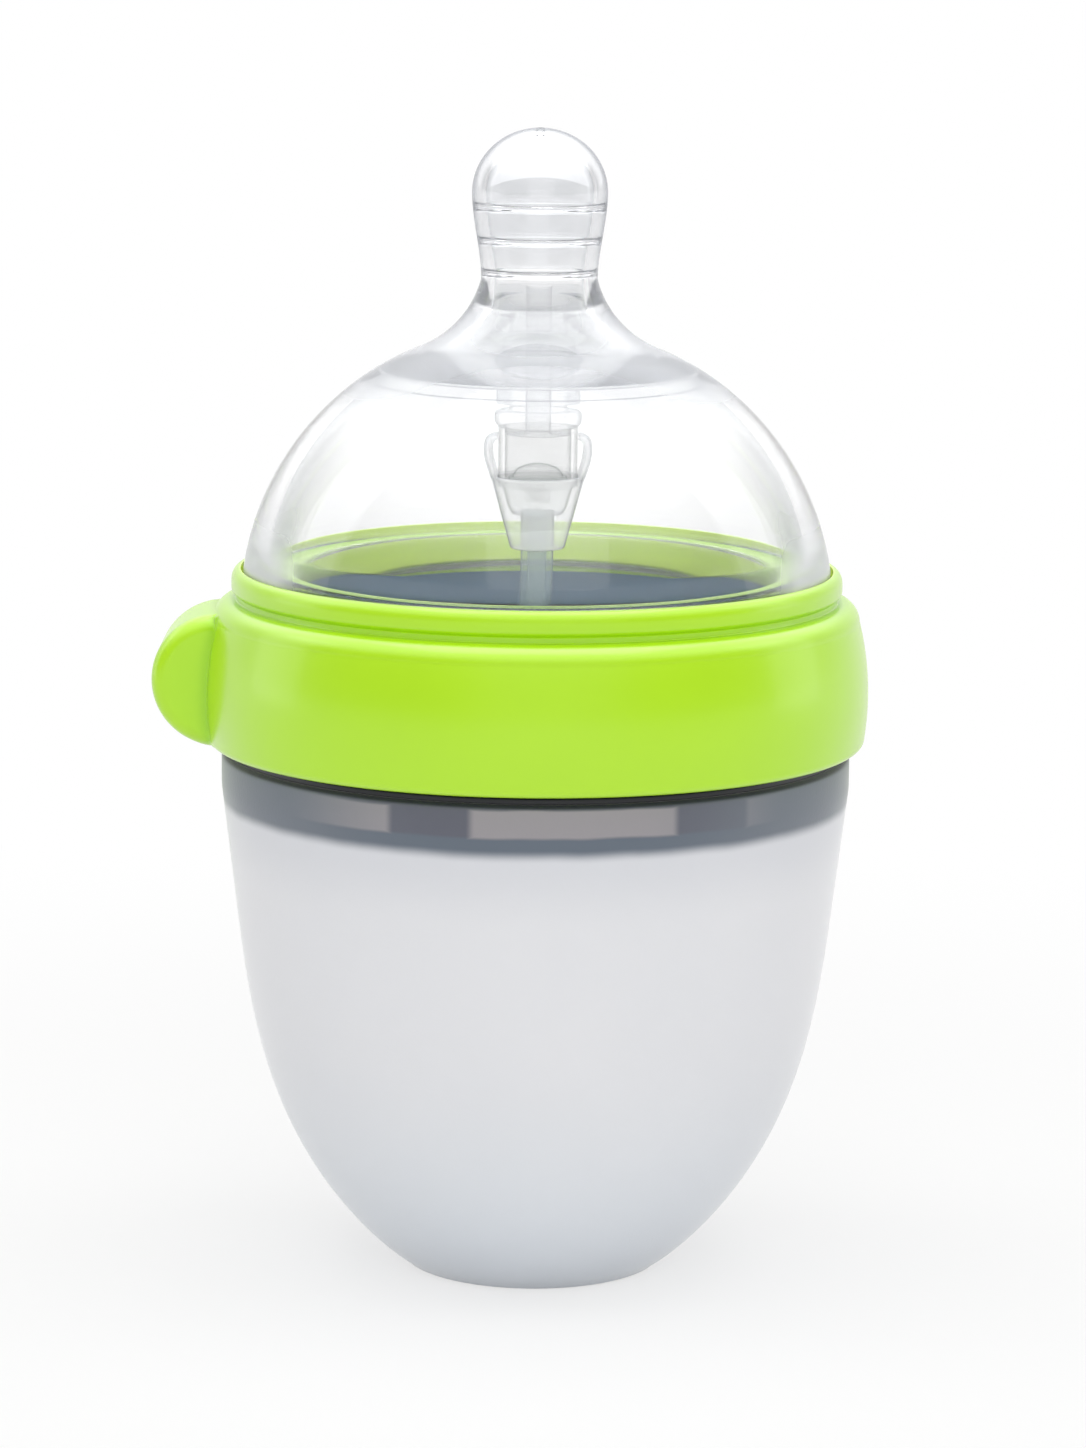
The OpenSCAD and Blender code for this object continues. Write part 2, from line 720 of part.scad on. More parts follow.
module weight_core() {
    core_h = core_high_z - core_low_z;
    color("silver")
        translate([straw_end.x, straw_end.y, core_low_z])
            difference() {
                cylinder(r = core_r, h = core_h);
                translate([0, 0, -over]) cylinder(r = weight_bore_r, h = core_h + 2 * over);
            }
}

bottle_body();
neck_ring();
collar();
nipple();
adapter_plug();
adapter_barrel();
one_way_valve();
adapter_holder();
straw();
weight_cap();
weight_cup();
weight_core();
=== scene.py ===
"""A wide-neck baby bottle: soft silicone bowl on a grey threaded neck, green screw band,
clear silicone nipple, and a drinking adapter with a weighted straw.

Metres, +Z up, origin at the middle of the flat foot. Piece by piece, from the foot up.
"""

import math

import bpy
import numpy as np
from mathutils import Matrix, Vector


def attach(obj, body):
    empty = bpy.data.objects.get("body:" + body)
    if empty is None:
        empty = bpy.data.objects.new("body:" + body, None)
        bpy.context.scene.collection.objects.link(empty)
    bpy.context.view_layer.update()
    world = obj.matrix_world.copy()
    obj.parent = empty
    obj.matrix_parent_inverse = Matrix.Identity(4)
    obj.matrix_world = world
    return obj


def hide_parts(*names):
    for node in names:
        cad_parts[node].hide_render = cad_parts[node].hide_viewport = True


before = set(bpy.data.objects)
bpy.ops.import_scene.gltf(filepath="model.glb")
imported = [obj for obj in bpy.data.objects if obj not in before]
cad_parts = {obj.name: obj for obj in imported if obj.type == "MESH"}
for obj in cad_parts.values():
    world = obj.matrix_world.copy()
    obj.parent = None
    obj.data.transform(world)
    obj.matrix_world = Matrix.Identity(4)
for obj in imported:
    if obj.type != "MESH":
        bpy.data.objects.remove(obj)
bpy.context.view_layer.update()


# ---------------------------------------------------------------------------------------
# Camera. A long lens a little over half a metre away, just above the height of the nipple
# and held very slightly out of level.
scene = bpy.context.scene
scene.view_settings.view_transform = "Standard"
# Light turns many times inside the clear silicone before it leaves it.
scene.cycles.max_bounces = 32
scene.cycles.glossy_bounces = 32
scene.cycles.transmission_bounces = 32
scene.cycles.transparent_max_bounces = 24

eye = Vector((0.0, -0.570, 0.1626))
aim = Vector((0.0, 0.0, 0.064))
tilt = math.radians(0.47)
lens = bpy.data.cameras.new("camera")
lens.lens = 123.2
lens.sensor_width = 36.0
lens.shift_x = 0.005
camera = bpy.data.objects.new("camera", lens)
facing = (aim - eye).to_track_quat("-Z", "Y").to_matrix().to_4x4()
camera.matrix_world = Matrix.Translation(eye) @ facing @ Matrix.Rotation(tilt, 4, "Z")
scene.collection.objects.link(camera)
scene.camera = camera


# ---------------------------------------------------------------------------------------
# Weighted straw. A soft extruded silicone tube, pushed into the outlet of the adapter's
# holder, and a white two-part shell round a steel sleeve that pulls its end to the milk.
MM = 0.001


class Value:
    """One output of a shader node. Arithmetic on it adds Math nodes to its finish."""

    def __init__(self, finish, node, output=0):
        self.finish, self.source = finish, node
        self.socket = node.outputs[output]

    def also(self, output):
        return Value(self.finish, self.source, output)

    def __add__(self, other):
        return self.finish.maths("ADD", self, other)

    def __radd__(self, other):
        return self.finish.maths("ADD", other, self)

    def __sub__(self, other):
        return self.finish.maths("SUBTRACT", self, other)

    def __rsub__(self, other):
        return self.finish.maths("SUBTRACT", other, self)

    def __mul__(self, other):
        return self.finish.maths("MULTIPLY", self, other)

    def __rmul__(self, other):
        return self.finish.maths("MULTIPLY", other, self)


class Finish:
    """A material, or a world. node() adds any node: its settings first, then its sockets'
    values or links."""

    def __init__(self, name, library=bpy.data.materials):
        self.owner = library.new(name)
        self.owner.use_nodes = True
        self.tree = self.owner.node_tree
        self.tree.nodes.clear()

    def node(self, kind, settings=None, sockets=None, output=0):
        node = self.tree.nodes.new("ShaderNode" + kind)
        for name, setting in (settings or {}).items():
            setattr(node, name, setting)
        for name, value in (sockets or {}).items():
            if isinstance(value, Value):
                self.tree.links.new(value.socket, node.inputs[name])
            elif node.inputs[name].type == "RGBA":
                node.inputs[name].default_value = (*value, 1)
            else:
                node.inputs[name].default_value = value
        return Value(self, node, output) if len(node.outputs) else None

    def maths(self, operation, *terms):
        return self.node("Math", {"operation": operation}, dict(enumerate(terms)))

    def place(self):
        """The point on the piece, in metres."""
        return self.node("TexCoord", output="Object")

    def split(self, place):
        """The three coordinates of a point or a direction."""
        x = self.node("SeparateXYZ", {}, {0: place})
        return x, x.also("Y"), x.also("Z")

    def slant(self):
        """From 0 where the surface is seen square on to 1 where it is seen along its length."""
        return self.node("LayerWeight", {}, {"Blend": 0.5}, "Facing")

    def step(self, value, low, high):
        """Smooth rise from 0 where value is low to 1 where it is high."""
        return self.node("MapRange", {"interpolation_type": "SMOOTHSTEP"},
                         {"Value": value, "From Min": low, "From Max": high})

    def mix(self, factor, a, b):
        """Colour a where factor is 0, b where it is 1."""
        return self.node("Mix", {"data_type": "RGBA"}, {0: factor, 6: a, 7: b}, 2)

    def noise(self, place, scale, detail=2.0):
        return self.node("TexNoise", {}, {"Vector": place, "Scale": scale, "Detail": detail})

    def relief(self, height, distance):
        """Surface relief: height 1 stands distance metres above height 0."""
        return self.node("Bump", {}, {"Height": height, "Distance": distance, "Strength": 1.0})

    def done(self, surface, volume=None, output="OutputMaterial"):
        self.node(output, {}, {"Surface": surface, **({"Volume": volume} if volume else {})})
        return self.owner


def milky(name, face, edge, veil, edge_veil, roughness, clearer_above=1.0):
    """Thin milky moulding that the eye sees through. Each surface lays a veil of the face
    colour over what is behind it, patchy by a few hundredths, and thickens towards its
    outline, where the wall is seen along its length and takes the edge colour. Above a
    height in metres the walls are thinner and the veils are a third as dense."""
    finish = Finish(name)
    place = finish.place()
    z = finish.split(place)[2]
    rim = finish.step(finish.slant(), 0.45, 0.85)
    patches = finish.noise(place, 160.0)
    thin = 1 - 0.65 * finish.step(z, clearer_above, clearer_above + 0.001)
    return finish.done(finish.node("BsdfPrincipled", {}, {
        "Base Color": finish.mix(rim, face, edge),
        "Alpha": thin * (veil - 0.04 + 0.08 * patches + edge_veil * rim),
        "Roughness": roughness + 0.08 * patches,
        "IOR": 1.41,
        "Normal": finish.relief(finish.noise(place, 900.0, 1.0), 0.000008),
    }))


def skin(grid, looped=True):
    """Points and faces of a surface given as rows of points, grid[row, column]. The columns
    always run round and close. The rows close too where looped. Points that coincide become
    one, so a row drawn in to a point ends the surface in a closed pole."""
    rows, columns = grid.shape[:2]
    points, index = np.unique(np.round(grid.reshape(-1, 3), 9), axis=0, return_inverse=True)
    index = index.reshape(rows, columns)
    low = index if looped else index[:-1]
    high = np.roll(index, -1, axis=0) if looped else index[1:]
    quads = np.stack([low, np.roll(low, -1, 1), np.roll(high, -1, 1), high], -1).reshape(-1, 4)
    distinct = quads != np.roll(quads, 1, axis=1)
    sides = distinct.sum(axis=1)
    triangles = quads[sides == 3][distinct[sides == 3]].reshape(-1, 3)
    return points, quads[sides == 4].tolist() + triangles.tolist()


def mesh_of(name, *skins):
    """One mesh of one or more skins."""
    start = np.cumsum([0] + [len(points) for points, faces in skins])
    faces = [[k + first for k in face] for first, (_, some) in zip(start, skins) for face in some]
    mesh = bpy.data.meshes.new(name)
    mesh.from_pydata(np.concatenate([points for points, _ in skins]).tolist(), [], faces)
    mesh.polygons.foreach_set("use_smooth", np.ones(len(faces), bool))
    return mesh


def tube(line, radius, sides=48):
    """Level circles along a line: the row at line[i] has the radius radius[i]."""
    turn = np.arange(sides) * 2 * np.pi / sides
    circle = np.stack([np.cos(turn), np.sin(turn), np.zeros(sides)], axis=1)
    return line[:, None] + radius[:, None, None] * circle


def piece(name, mesh, material, body, node):
    """Puts a mesh into the scene as the dressed form of a CAD node."""
    mesh.materials.append(material)
    part = bpy.data.objects.new(name, mesh)
    scene.collection.objects.link(part)
    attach(part, body)
    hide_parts(node)
    return part


straw_route = np.array([
    [0, 0, 88.6], [0, 0, 84], [-0.1, 0, 80], [-0.2, 0.1, 76], [-0.3, 0.1, 72], [-0.5, 0.2, 68],
    [-0.7, 0.3, 64], [-0.9, 0.4, 60], [-1.2, 0.5, 55], [-1.4, 0.6, 50], [-1.6, 0.7, 45],
    [-1.8, 0.8, 40], [-1.9, 0.9, 35], [-2, 1, 30], [-2, 1, 25], [-2, 1, 17]]) * MM
straw_radius, straw_bore = 1.9 * MM, 1.1 * MM


def smoothed(route, count, reach=4):
    """The route at evenly spaced heights from its low end up, with each point the mean of its
    neighbours within reach, which rounds the corners and keeps both ends."""
    height = np.linspace(route[-1, 2], route[0, 2], count)
    spots = [np.interp(height, route[::-1, 2], route[::-1, k]) for k in (0, 1)]
    window = np.ones(2 * reach + 1) / (2 * reach + 1)
    spots = [np.convolve(np.pad(s, reach, "edge"), window, "valid") for s in spots]
    return np.stack([*spots, height], axis=1)


straw_line = smoothed(straw_route, 90)
straw_wall = tube(np.concatenate([straw_line, straw_line[::-1]]),
                  np.repeat([straw_radius, straw_bore], len(straw_line)))
straw_silicone = milky("straw silicone", (0.38, 0.49, 0.50), (0.14, 0.20, 0.23), 0.34, 0.35, 0.4)
straw = piece("drinking_straw", mesh_of("drinking_straw", skin(straw_wall)), straw_silicone,
              "feeding_set", "straw")


def moulded(name, colour, roughness, grain, grain_size, **more):
    """Opaque moulded plastic: a faintly mottled colour and gloss over a fine grain. Where the
    mesh's attribute of painted shade and light is above 0 the colour deepens with painted
    shade, as in a fold, and where it is below 0 it pales with painted light, as on a face that
    light reaches through clear silicone."""
    finish = Finish(name)
    place = finish.place()
    mottle = finish.noise(place, 60.0)
    darker = tuple(0.93 * c for c in colour)
    # Painted shade deepens the colour in corners, and painted light pales it on faces lit through
    # clear silicone.
    painted_shade_colour = (0.72 * colour[0], 0.86 * colour[1], 0.5 * colour[2])
    paler = tuple(min(1.5 * c + 0.08, 1.0) for c in colour)
    painted_shade_and_light = finish.node("Attribute", {"attribute_name": "painted_shade_and_light"}, {}, "Fac")
    shaded = finish.mix(painted_shade_and_light, finish.mix(mottle, darker, colour), painted_shade_colour)
    return finish.done(finish.node("BsdfPrincipled", {}, {
        "Base Color": finish.mix(-1 * painted_shade_and_light, shaded, paler),
        "Roughness": roughness - 0.04 + 0.08 * mottle,
        "Normal": finish.relief(finish.noise(place, grain_size, 1.0), grain),
        **more,
    }))


weight_plastic = moulded("white weight plastic", (0.80, 0.80, 0.79), 0.35, 0.00001, 1500.0)
steel = moulded("turned steel", (0.55, 0.55, 0.56), 0.28, 0.00001, 2500.0, Metallic=1.0)
for node, material in (("weight_cap", weight_plastic), ("weight_cup", weight_plastic),
                       ("weight_core", steel)):
    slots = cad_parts[node].data.materials
    slots.clear()
    slots.append(material)


# ---------------------------------------------------------------------------------------
# Bowl. Soft frosted silicone, moulded over the skirt of the grey neck ring, which shows
# through its skin as a dark band with seven paler windows where the silicone grips through.
bowl_foot, bowl_side, bowl_height, bowl_curve = 14.4, 36.6, 61.2, 44.3
bowl_lean, bowl_fullness, bowl_corner, bowl_rise = 0.12, 3.23, 1.19, 4.0
bowl_wall, bowl_edge, bowl_fit = 2.4, 0.8, 0.02
foot_hollow, hollow_radius, side_start = 0.4, 11.4, 0.5
skirt_outer, skirt_inner, skirt_low = 35.5, 33.9, 55.5
window_low, window_high = 57.4, 60.7
window_count, window_turn, window_half = 7, math.radians(-83), math.radians(18)
window_apart = 2 * math.pi / window_count


def bowl_radius(z):
    """Outer radius at height z, in mm: a superellipse from the foot that runs into a side
    leaning outward."""
    side = bowl_side - bowl_lean * np.maximum(bowl_height - bowl_rise - z, 0)
    drop = 1 - np.minimum(z / bowl_curve, 1)
    return bowl_foot + (side - bowl_foot) * (1 - drop ** bowl_fullness) ** (1 / bowl_corner)


def arc(centre, radius, start, end, steps=12):
    """Points of an arc in a section, from angle start to end in degrees."""
    turn = np.radians(np.linspace(start, end, steps + 1))
    return np.stack([centre[0] + radius * np.cos(turn), centre[1] + radius * np.sin(turn)], 1)


def moved(line, distance):
    """A section line moved to the inner side of its direction of travel."""
    along = np.gradient(line, axis=0)
    across = np.stack([-along[:, 1], along[:, 0]], 1)
    return line + distance * across / np.linalg.norm(across, axis=1, keepdims=True)


def rounded(corners, steps=5):
    """A section line through corners (radius, height, rounding). Each corner is cut back by
    its rounding along both sides and bridged by a quadratic curve that leans on the corner."""
    corners = np.array([(*corner, 0.0)[:3] for corner in corners], float)
    parts = []
    t = np.linspace(0, 1, steps + 1)[:, None]
    for k, (*corner, rounding) in enumerate(corners):
        corner = np.array(corner)
        if rounding == 0 or k in (0, len(corners) - 1):
            parts.append(corner[None])
            continue
        back, on = corners[k - 1, :2] - corner, corners[k + 1, :2] - corner
        start = corner + back * min(rounding / np.linalg.norm(back), 0.5)
        end = corner + on * min(rounding / np.linalg.norm(on), 0.5)
        parts.append((1 - t) ** 2 * start + 2 * t * (1 - t) * corner + t ** 2 * end)
    return np.concatenate(parts)


def lathe(section, looped=False, sides=192):
    """Surface of revolution about the bottle's axis of a section of (radius, height) points
    in mm, which runs up on its outer side."""
    section = np.asarray(section) * MM
    axis = np.stack([0 * section[:, 0], 0 * section[:, 0], section[:, 1]], axis=1)
    return skin(tube(axis, section[:, 0], sides), looped)


bowl_z = side_start + (bowl_height - bowl_edge - side_start) * np.linspace(0, 1, 120) ** 1.4
bowl_outside = np.stack([bowl_radius(bowl_z), bowl_z], 1)
bowl_inside = moved(bowl_outside, bowl_wall)
bowl_inside = bowl_inside[bowl_inside[:, 1] < skirt_low - 0.2]
bowl_section = np.concatenate([
    rounded([(0, foot_hollow), (hollow_radius - 0.8, foot_hollow, 0.5), (hollow_radius, 0, 0.4),
             (bowl_foot + 0.4, 0, 0.7), tuple(bowl_outside[0])]),
    bowl_outside[1:],
    arc((bowl_side - bowl_edge, bowl_height - bowl_edge), bowl_edge, 0, 90),
    [(skirt_outer + bowl_fit, bowl_height), (skirt_outer + bowl_fit, skirt_low - bowl_fit),
     (skirt_inner, skirt_low - bowl_fit)],
    bowl_inside[::-1],
    [(0, bowl_inside[0, 1])]])


def frosted_silicone():
    """Milky silicone with a fine frosted grain. The grey ring under its skin is a dark band,
    soft at its lower edge, with paler windows that sink into its milk where they are seen
    aslant. Just below the ring the milk darkens with painted shade, and the top edge under the
    screw band is painted near black as shade. The silicone cools a little towards the foot."""
    finish = Finish("frosted silicone")
    place = finish.place()
    x, y, z = finish.split(place)
    angle = finish.maths("ARCTAN2", y, x) - window_turn
    from_window = finish.maths("PINGPONG", angle, window_apart / 2)
    height = z + 0.0005 * (finish.noise(place, 120.0) - 0.5)
    beside = finish.step(from_window, window_half - 0.012, window_half + 0.02)
    above = finish.step(height, (window_high - 0.3) * MM, (window_high + 0.1) * MM)
    below = 1 - finish.step(height, (window_low - 0.2) * MM, (window_low + 0.3) * MM)
    solid = finish.maths("MAXIMUM", beside, finish.maths("MAXIMUM", above, below))
    under_skin = finish.step(height, (skirt_low - 0.9) * MM, (skirt_low + 0.7) * MM)
    shadowed = finish.step(z, (skirt_low - 9) * MM, (skirt_low - 0.5) * MM)
    # Painted shade: the bowl's top edge under the screw band turns near black.
    rim_painted_shade = finish.step(z, (bowl_height - 0.6) * MM, (bowl_height - 0.25) * MM)
    cool = 1 - finish.step(z, 2 * MM, 34 * MM)
    milk = finish.mix(shadowed, finish.mix(cool, (0.73, 0.73, 0.75), (0.68, 0.71, 0.75)),
                      (0.66, 0.665, 0.695))
    mottled = finish.mix(finish.noise(place, 45.0, 3.0), (0.94, 0.95, 0.96), (1.0, 1.0, 1.0))
    body = finish.node("Mix", {"data_type": "RGBA", "blend_type": "MULTIPLY"},
                       {0: 1.0, 6: milk, 7: mottled}, 2)
    lower = finish.mix(below, (0.115, 0.12, 0.15), (0.12, 0.145, 0.18))
    ring = finish.mix(solid, finish.mix(above, (0.30, 0.285, 0.30), (0.20, 0.20, 0.22)), lower)
    skin_over = {
        "Roughness": 0.55 + 0.1 * finish.noise(place, 70.0),
        "IOR": 1.41,
        "Sheen Weight": 0.7,
        "Sheen Roughness": 0.35,
        "Normal": finish.relief(finish.noise(place, 2600.0, 1.0), 0.000012),
    }
    seen_square, seen_aslant = (
        finish.node("BsdfPrincipled", {}, {"Base Color": finish.mix(
            rim_painted_shade, finish.mix(under_skin, body, under), (0.03, 0.034, 0.045)), **skin_over})
        for under in (ring, (0.15, 0.17, 0.20)))
    return finish.done(finish.node("MixShader", {}, {
        0: finish.step(finish.slant(), 0.05, 0.42), 1: seen_square, 2: seen_aslant}))


piece("silicone_bowl", mesh_of("silicone_bowl", lathe(bowl_section)), frosted_silicone(),
      "bottle", "bottle_body")


# ---------------------------------------------------------------------------------------
# Neck ring. Stiff slate-grey plastic: a skirt with seven windows inside the silicone, a flat
# shoulder, and the threaded neck that the screw band runs on.
neck_outer, neck_inner, neck_top, neck_bevel = 33.8, 31.6, 77.1, 0.4
shoulder_outer, shoulder_top = 35.9, 61.9
draw_in = 60.95
thread_pitch, thread_start = 4.0, math.radians(25)
thread_depth, thread_root, thread_sunk = 1.2, 1.8, 0.4
neck_thread_low, neck_thread_turns = 66.2, 1.3


def thread(wall, crest, low, turns):
    """A helical ridge from the wall's radius to the crest's. Its height rises by the pitch in
    each turn; its eight-point outline is a trapezoid with rounded crest that swells out of
    the wall over an eighth of a turn and sinks back into it."""
    t = np.linspace(0, 1, int(turns * 96) + 1)[:, None]
    turn = thread_start + 2 * np.pi * turns * t
    out = np.sign(crest - wall)
    swell = np.clip(np.minimum(t, 1 - t) * turns * 8, 0, 1)
    swell = swell * swell * (3 - 2 * swell)
    reach = np.array([-0.4, -0.4, 0.1, 0.85, 1, 1, 0.85, 0.1]) * abs(crest - wall)
    width = np.array([-0.5, 0.5, 0.5, 0.3, 0.22, -0.22, -0.3, -0.5]) * thread_root
    radius = wall + out * (-thread_sunk + swell * (reach + thread_sunk))
    height = low + thread_pitch * turns * t + width * swell
    ridge = np.stack([radius * np.cos(turn), radius * np.sin(turn), height], -1) * MM
    return skin(ridge if out > 0 else ridge[:, ::-1], looped=False)


def sector(low_radius, high_radius, low, high, start, end, steps=16):
    """A closed block between two radii, two heights and two angles."""
    turn = np.linspace(start, end, steps + 1)
    turn = np.concatenate([turn[:1], turn, turn[-1:]])[:, None]
    radius = np.array([low_radius, high_radius, high_radius, low_radius]) + 0 * turn
    height = np.array([low, low, high, high]) + 0 * turn
    radius[[0, -1]] = (low_radius + high_radius) / 2
    height[[0, -1]] = (low + high) / 2
    block = np.stack([radius * np.cos(turn), radius * np.sin(turn), height], -1) * MM
    return skin(block[:, ::-1], looped=False)


neck_section = rounded([
    (skirt_inner, window_high), (skirt_outer, window_high), (skirt_outer, bowl_height),
    (shoulder_outer, bowl_height, 0.1), (shoulder_outer, shoulder_top, 0.25),
    (neck_outer, shoulder_top, 0.3), (neck_outer, neck_top, neck_bevel + 0.2),
    (neck_inner, neck_top, neck_bevel + 0.2),
    (neck_inner, draw_in + skirt_inner - neck_inner, 0.4), (skirt_inner, draw_in, 0.1)])
skirt_band = rounded([(skirt_inner, skirt_low), (skirt_outer, skirt_low),
                      (skirt_outer, window_low), (skirt_inner, window_low)])
pillars = [
    sector(skirt_inner, skirt_outer, window_low - 0.2, window_high + 0.2,
           window_turn + k * window_apart + window_half,
           window_turn + (k + 1) * window_apart - window_half)
    for k in range(window_count)]


def slate_plastic_finish():
    """Slate-grey plastic with a fine grain, painted almost black on the shoulder and at the
    foot of the neck, as shade under the screw band."""
    finish = Finish("slate plastic")
    place = finish.place()
    x, y, z = finish.split(place)
    radius = finish.maths("SQRT", x * x + y * y)
    # Painted shade: almost black on the outside from the shoulder down, under the screw band.
    joint_painted_shade = finish.step(radius, 33.4 * MM, 33.9 * MM) * (1 - finish.step(z, 62.2 * MM, 64 * MM))
    mottle = finish.noise(place, 60.0)
    slate = finish.mix(mottle, (0.11, 0.21, 0.315), (0.15, 0.245, 0.345))
    return finish.done(finish.node("BsdfPrincipled", {}, {
        "Base Color": finish.mix(joint_painted_shade, slate, (0.012, 0.013, 0.018)),
        "Roughness": 0.36 + 0.08 * mottle,
        "Normal": finish.relief(finish.noise(place, 1800.0, 1.0), 0.00001),
    }))


slate_plastic = slate_plastic_finish()
piece("threaded_neck", mesh_of(
    "threaded_neck", lathe(neck_section, looped=True), lathe(skirt_band, looped=True),
    thread(neck_outer, neck_outer + thread_depth, neck_thread_low, neck_thread_turns), *pillars),
    slate_plastic, "bottle", "neck_ring")


# ---------------------------------------------------------------------------------------
# Adapter holder. Clear stiff plastic: a funnel that grips the straw in its outlet, with a
# seat for the barrel and two sprung ears that snap over its rim.
holder_rim_radius, holder_rim, holder_seat, holder_waist = 5.45, 92.735, 91.535, 88.235
waist_radius, outlet_radius, outlet_low = 4.25, 3.15, 84.235
outlet_bore = straw_radius / MM + 0.03
barrel_radius, barrel_fit = 4.6, 0.05
ear_half_turn, ear_half_thickness, ear_top = math.radians(28), 0.27, 97.36
holder_section = rounded([
    (outlet_bore, outlet_low), (outlet_radius, outlet_low, 0.3),
    (waist_radius, holder_waist, 0.6),
    (holder_rim_radius, holder_rim, 0.35), (barrel_radius + barrel_fit, holder_rim, 0.2),
    (barrel_radius + barrel_fit, holder_seat, 0.1), (barrel_radius - 0.5, holder_seat, 0.1),
    (waist_radius - 0.85, holder_waist + 0.8, 0.3), (waist_radius - 1.35, holder_waist, 0.2),
    (outlet_bore, holder_waist)])


def ear(side):
    """A sprung ear on one side: a strap of rounded cross-section carried along a line that
    rises from the rim, bulges out and turns in to the barrel. Its two ends close in a line."""
    path = rounded([(5.0, 91.9), (5.35, 92.9, 0.5), (6.02, 94.9, 1.4), (6.02, 96.6, 1.2),
                    (5.55, ear_top, 0.7), (barrel_radius + 0.06, ear_top)], steps=8)
    along = np.gradient(path, axis=0)
    normal = np.stack([along[:, 1], -along[:, 0]], 1)
    normal /= np.linalg.norm(normal, axis=1, keepdims=True)
    t = np.linspace(0, 1, len(path))
    full = np.minimum(np.minimum(t, 1 - t) * 30, 1) ** 0.5
    turn = np.arange(32) * 2 * np.pi / 32
    across = np.sign(np.cos(turn)) * np.abs(np.cos(turn)) ** 0.3
    through = np.sign(np.sin(turn)) * np.abs(np.sin(turn)) ** 0.7
    angle = side - ear_half_turn * across * full[:, None]
    depth = ear_half_thickness * through * full[:, None]
    radius = path[:, :1] + normal[:, :1] * depth
    height = path[:, 1:] + normal[:, 1:] * depth
    return skin(np.stack([radius * np.cos(angle), radius * np.sin(angle), height], -1) * MM,
                looped=False)


clear_plastic = milky("clear plastic", (0.97, 0.98, 0.98), (0.24, 0.26, 0.30), 0.30, 0.5, 0.2)
piece("adapter_holder_moulding", mesh_of(
    "adapter_holder_moulding", lathe(holder_section, looped=True, sides=96),
    ear(0.0), ear(math.pi)), clear_plastic, "feeding_set", "adapter_holder")


# ---------------------------------------------------------------------------------------
# Barrel. Clear stiff plastic cup with a nozzle under its floor, held in the holder's seat.
barrel_bore, barrel_low, barrel_high, barrel_floor = 3.85, holder_seat, 98.435, 92.285
nozzle_radius, nozzle_bore, nozzle_low = 1.45, 0.8, 89.635
barrel_section = rounded([
    (nozzle_bore, nozzle_low), (nozzle_radius, nozzle_low, 0.15), (nozzle_radius, barrel_low, 0.2),
    (barrel_radius, barrel_low, 0.25), (barrel_radius, barrel_high, 0.1),
    (barrel_bore, barrel_high, 0.1), (barrel_bore, barrel_floor, 0.3),
    (nozzle_bore, barrel_floor, 0.1)])
barrel_plastic = milky("barrel plastic", (0.12, 0.135, 0.135), (0.06, 0.09, 0.08), 0.13, 0.4, 0.15)
piece("adapter_barrel_moulding", mesh_of(
    "adapter_barrel_moulding", lathe(barrel_section, looped=True, sides=96)),
    barrel_plastic, "feeding_set", "adapter_barrel")


# ---------------------------------------------------------------------------------------
# One-way valve. A small domed button of silicone that lies loose on the barrel's floor and
# lifts when the child drinks.
valve_radius, valve_lip, valve_height, valve_dome_radius = 3.4, 0.4, 1.9, 2.9
valve_section = np.concatenate([
    [(0, barrel_floor + 0.02), (valve_radius - 0.1, barrel_floor + 0.02),
     (valve_radius, barrel_floor + 0.1), (valve_radius, barrel_floor + valve_lip)],
    [(valve_dome_radius * np.cos(a),
      barrel_floor + valve_lip + (valve_height - valve_lip) * np.sin(a))
     for a in np.radians(np.linspace(0, 90, 13)[:-1])],
    [(0, barrel_floor + valve_height)]])
valve_silicone = milky("valve silicone", (0.50, 0.52, 0.50), (0.08, 0.13, 0.11), 0.15, 0.5, 0.3)
piece("valve_disc", mesh_of("valve_disc", lathe(valve_section, sides=64)), valve_silicone,
      "valve", "one_way_valve")


# ---------------------------------------------------------------------------------------
# Adapter plug. Soft milky silicone: a top bead pushed into the nipple's throat, a stem with
# a collar, and a flange that closes the barrel.
plug_bead_low, plug_bead_high, plug_bead_radius = 111.635, 114.635, 5.5
plug_flange_radius, plug_flange_high, plug_stem, plug_channel = 5.05, 100.435, 3.3, 1.5
stem_collar_radius, stem_collar_low, stem_collar_high = 4.2, 105.435, 108.635
plug_low, plug_fit = barrel_high - 0.9, 0.02
plug_section = rounded([
    (plug_channel, plug_low), (barrel_bore - plug_fit, plug_low, 0.2),
    (barrel_bore - plug_fit, barrel_high), (barrel_radius, barrel_high, 0.1),
    (plug_flange_radius, barrel_high + 0.6, 0.5), (plug_flange_radius, plug_flange_high, 0.8),
    (plug_stem, plug_flange_high, 0.5), (plug_stem, stem_collar_low, 0.3),
    (stem_collar_radius, stem_collar_low + 0.3, 0.4), (stem_collar_radius, stem_collar_high, 0.5),
    (plug_stem, stem_collar_high, 0.3), (plug_stem, plug_bead_low - 0.5, 0.4),
    (plug_bead_radius - plug_fit, plug_bead_low, 0.4),
    (plug_bead_radius - plug_fit, plug_bead_high, 0.6), (plug_channel, plug_bead_high, 0.3)])
plug_silicone = milky("milky silicone", (0.30, 0.315, 0.34), (0.15, 0.17, 0.20), 0.15, 0.35, 0.4,
                      clearer_above=0.101)
piece("adapter_plug_moulding", mesh_of(
    "adapter_plug_moulding", lathe(plug_section, looped=True, sides=96)),
    plug_silicone, "feeding_set", "adapter_plug")


